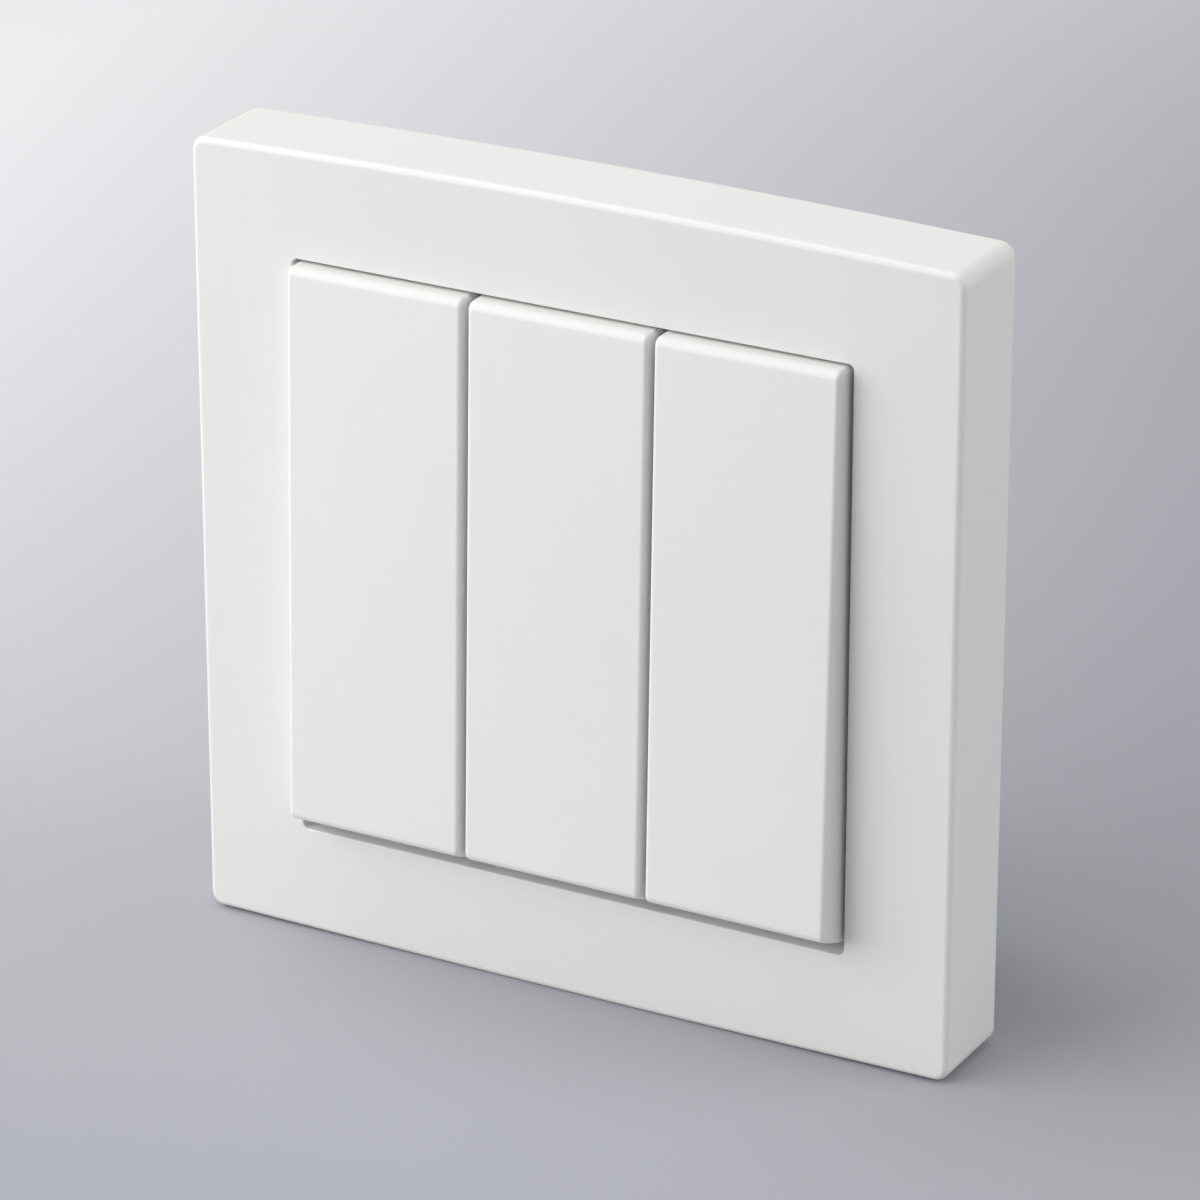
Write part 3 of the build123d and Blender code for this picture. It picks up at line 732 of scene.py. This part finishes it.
class SWITCH_OT_rockers(bpy.types.Operator):
    """Finish the three rocker caps"""

    bl_idname = "switch.rockers"
    bl_label = "Rockers"

    def execute(self, context):
        dress("white rocker", *each_gang("rocker"))
        return {"FINISHED"}


class SWITCH_OT_carriers(bpy.types.Operator):
    """Finish the toggles and plungers under the rockers and coil their springs"""

    bl_idname = "switch.carriers"
    bl_label = "Toggles, plungers and springs"

    def execute(self, context):
        dress("inner plastic", *each_gang("toggle"))
        dress("nylon", *each_gang("plunger"))
        for gang in GANGS:
            spring_piece(gang, context.scene.switch_details)
        return {"FINISHED"}


class SWITCH_OT_contacts(bpy.types.Operator):
    """Finish the rocking strips, fixed strips, rivets, feed bar and terminals"""

    bl_idname = "switch.contacts"
    bl_label = "Contacts and terminals"

    def execute(self, context):
        dress("copper strip", *each_gang("moving_contact"))
        dress("contact silver", *each_gang("moving_tip"), "fixed_tips")
        dress("brass", *each_gang("fixed_contact"), *each_gang("terminal"), "terminal_common", "common_bar")
        return {"FINISHED"}


class SWITCH_OT_base(bpy.types.Operator):
    """Finish the mounting plate, the housing and its lid"""

    bl_idname = "switch.base"
    bl_label = "Plate, housing and lid"

    def execute(self, context):
        dress("zinc plate", "mounting_plate")
        dress("housing plastic", "rear_housing")
        dress("inner plastic", "mechanism_cover")
        return {"FINISHED"}


class SWITCH_OT_screws(bpy.types.Operator):
    """Turn threads and slots on the screws"""

    bl_idname = "switch.screws"
    bl_label = "Screws"

    def execute(self, context):
        for node, screw in SCREWS.items():
            seats = clamp_seats if node == "terminal_screws" else wall_seats
            screw_piece(node, screw, seats(node, screw), context.scene.switch_details)
        return {"FINISHED"}


def floor_bowl():
    """A round floor whose rim bends up, as a grid of the way s out from the middle by the angle a.

    The radius follows s to the bend and then grows by the bend's radius times the sine of the angle turned;
    the height is the bend's radius less its cosine part.
    """
    s = np.linspace(0, FLOOR_FLAT + FLOOR_BEND * np.pi / 2, FLOOR_ROWS)[:, None]
    a = np.linspace(0, 2 * np.pi, FLOOR_POINTS)[None, :]
    turned = np.clip((s - FLOOR_FLAT) / FLOOR_BEND, 0, np.pi / 2)
    radius = np.minimum(s, FLOOR_FLAT) + FLOOR_BEND * np.sin(turned)
    height = np.broadcast_to(cad_low.z + FLOOR_BEND * (1 - np.cos(turned)), (len(s), a.shape[1]))
    return mesh_object("studio_floor", [np.stack([radius * np.cos(a), radius * np.sin(a), height], axis=-1)])


def painted_floor_light_share(tree, right, away):
    """Share of the floor's painted light, against its painted shade, at a place on it.

    It is the middle share plus a factor each of right, away, away squared, right times away and right times
    away squared.
    """
    tone = FLOOR_PAINTED_LIGHT_SHARE
    twist = math_node(tree, "MULTIPLY_ADD", away, tone["right_away_squared"], tone["right_away"])
    rise = math_node(tree, "MULTIPLY_ADD", away, tone["away_squared"], tone["away"])
    slope = math_node(tree, "MULTIPLY_ADD", right, twist, rise)
    by_away = math_node(tree, "MULTIPLY_ADD", away, slope, tone["middle"])
    return math_node(tree, "MULTIPLY_ADD", right, tone["right"], by_away)


def floor_material(stage):
    """Pale paper whose colour goes smoothly from painted light at the far left to painted shade at the near
    right.
    """
    material = bpy.data.materials.new("studio paper")
    material.use_nodes = True
    tree = material.node_tree
    shader = tree.nodes["Principled BSDF"]
    socket_value(shader, "Roughness", 0.75)
    socket_value(shader, "Specular IOR Level", 0.15)
    place = tree.nodes.new("ShaderNodeTexCoord").outputs["Object"]
    turn = tree.nodes.new("ShaderNodeMapping")
    socket_value(turn, "Rotation", (0, 0, -stage.azimuth))
    tree.links.new(place, turn.inputs["Vector"])
    split = tree.nodes.new("ShaderNodeSeparateXYZ")
    tree.links.new(turn.outputs["Vector"], split.inputs["Vector"])
    right = limited(tree, split.outputs["X"], *FLOOR_RIGHT)
    away = limited(tree, split.outputs["Y"], *FLOOR_AWAY)
    ramp = tree.nodes.new("ShaderNodeClamp")
    tree.links.new(painted_floor_light_share(tree, right, away), ramp.inputs["Value"])
    # Painted shade and painted light of the floor, mixed by the share
    blend = tree.nodes.new("ShaderNodeMix")
    blend.data_type = "RGBA"
    blend.inputs["A"].default_value = (*stage.floor_painted_shade, 1)
    blend.inputs["B"].default_value = (*stage.floor_painted_light, 1)
    tree.links.new(ramp.outputs["Result"], blend.inputs["Factor"])
    tree.links.new(blend.outputs["Result"], shader.inputs["Base Color"])
    return material


def soft_lamp(name, place, size, power, colour):
    """A rectangular area lamp that looks at the switch."""
    light = bpy.data.lights.new(name, "AREA")
    light.shape = "RECTANGLE"
    light.size, light.size_y = size
    light.energy = power
    light.color = colour
    lamp = bpy.data.objects.new(name, light)
    lamp.location = place
    lamp.rotation_euler = (-Vector(place)).to_track_quat("-Z", "Y").to_euler()
    bpy.context.scene.collection.objects.link(lamp)


def place_camera(stage):
    """The camera on its own axis through the plate's centre, moved sideways and up in its own plane."""
    a, e = stage.azimuth, stage.elevation
    back = Vector((sin(a) * cos(e), -cos(a) * cos(e), sin(e)))
    right = Vector((cos(a), sin(a), 0))
    up = back.cross(right)
    lens = bpy.data.cameras.new("photo_camera")
    lens.lens = stage.lens
    lens.sensor_width = 36.0
    lens.clip_start, lens.clip_end = 0.01, 20.0
    camera = bpy.data.objects.new("photo_camera", lens)
    camera.location = back * stage.distance + right * stage.aim[0] + up * stage.aim[1]
    camera.rotation_euler = Matrix((right, up, back)).transposed().to_euler()
    bpy.context.scene.collection.objects.link(camera)
    bpy.context.scene.camera = camera


class SWITCH_OT_stage(bpy.types.Operator):
    """Set up the floor, the lamps and the camera"""

    bl_idname = "switch.stage"
    bl_label = "Studio"

    def execute(self, context):
        stage = context.scene.switch_stage
        floor = floor_bowl()
        floor.data.materials.append(floor_material(stage))
        for name, (place, size, colour) in LAMPS.items():
            soft_lamp(f"{name}_lamp", place, size, getattr(stage, f"{name}_power"), getattr(stage, colour))
        world = bpy.data.worlds.new("studio air")
        world.use_nodes = True
        sky = world.node_tree.nodes["Background"]
        socket_value(sky, "Color", (*stage.air_light, 1))
        socket_value(sky, "Strength", stage.ambient)
        context.scene.world = world
        context.scene.view_settings.view_transform = "Standard"
        place_camera(stage)
        return {"FINISHED"}


PIECES = (
    SWITCH_OT_cover_frame,
    SWITCH_OT_rockers,
    SWITCH_OT_carriers,
    SWITCH_OT_contacts,
    SWITCH_OT_base,
    SWITCH_OT_screws,
    SWITCH_OT_stage,
)


class SWITCH_PT_sidebar(bpy.types.Panel):
    """Lists the switch's pieces, finishes, details and stage"""

    bl_idname = "SWITCH_PT_sidebar"
    bl_label = "Light switch"
    bl_space_type = "VIEW_3D"
    bl_region_type = "UI"
    bl_category = "Switch"

    def draw(self, context):
        for piece in PIECES:
            self.layout.operator(piece.bl_idname)
        scene = context.scene
        for settings in (scene.switch_finishes, scene.switch_details, scene.switch_stage):
            box = self.layout.box()
            for title in settings.__annotations__:
                box.prop(settings, title)


CLASSES = (SwitchFinishes, SwitchDetails, SwitchStage, *PIECES, SWITCH_PT_sidebar)


def register():
    for entry in CLASSES:
        bpy.utils.register_class(entry)
    bpy.types.Scene.switch_finishes = bpy.props.PointerProperty(type=SwitchFinishes)
    bpy.types.Scene.switch_details = bpy.props.PointerProperty(type=SwitchDetails)
    bpy.types.Scene.switch_stage = bpy.props.PointerProperty(type=SwitchStage)


def unregister():
    del bpy.types.Scene.switch_stage
    del bpy.types.Scene.switch_details
    del bpy.types.Scene.switch_finishes
    for entry in reversed(CLASSES):
        bpy.utils.unregister_class(entry)


def main():
    register()
    bpy.ops.switch.cover_frame()
    bpy.ops.switch.rockers()
    bpy.ops.switch.carriers()
    bpy.ops.switch.contacts()
    bpy.ops.switch.base()
    bpy.ops.switch.screws()
    bpy.ops.switch.stage()


if __name__ == "__main__":
    main()
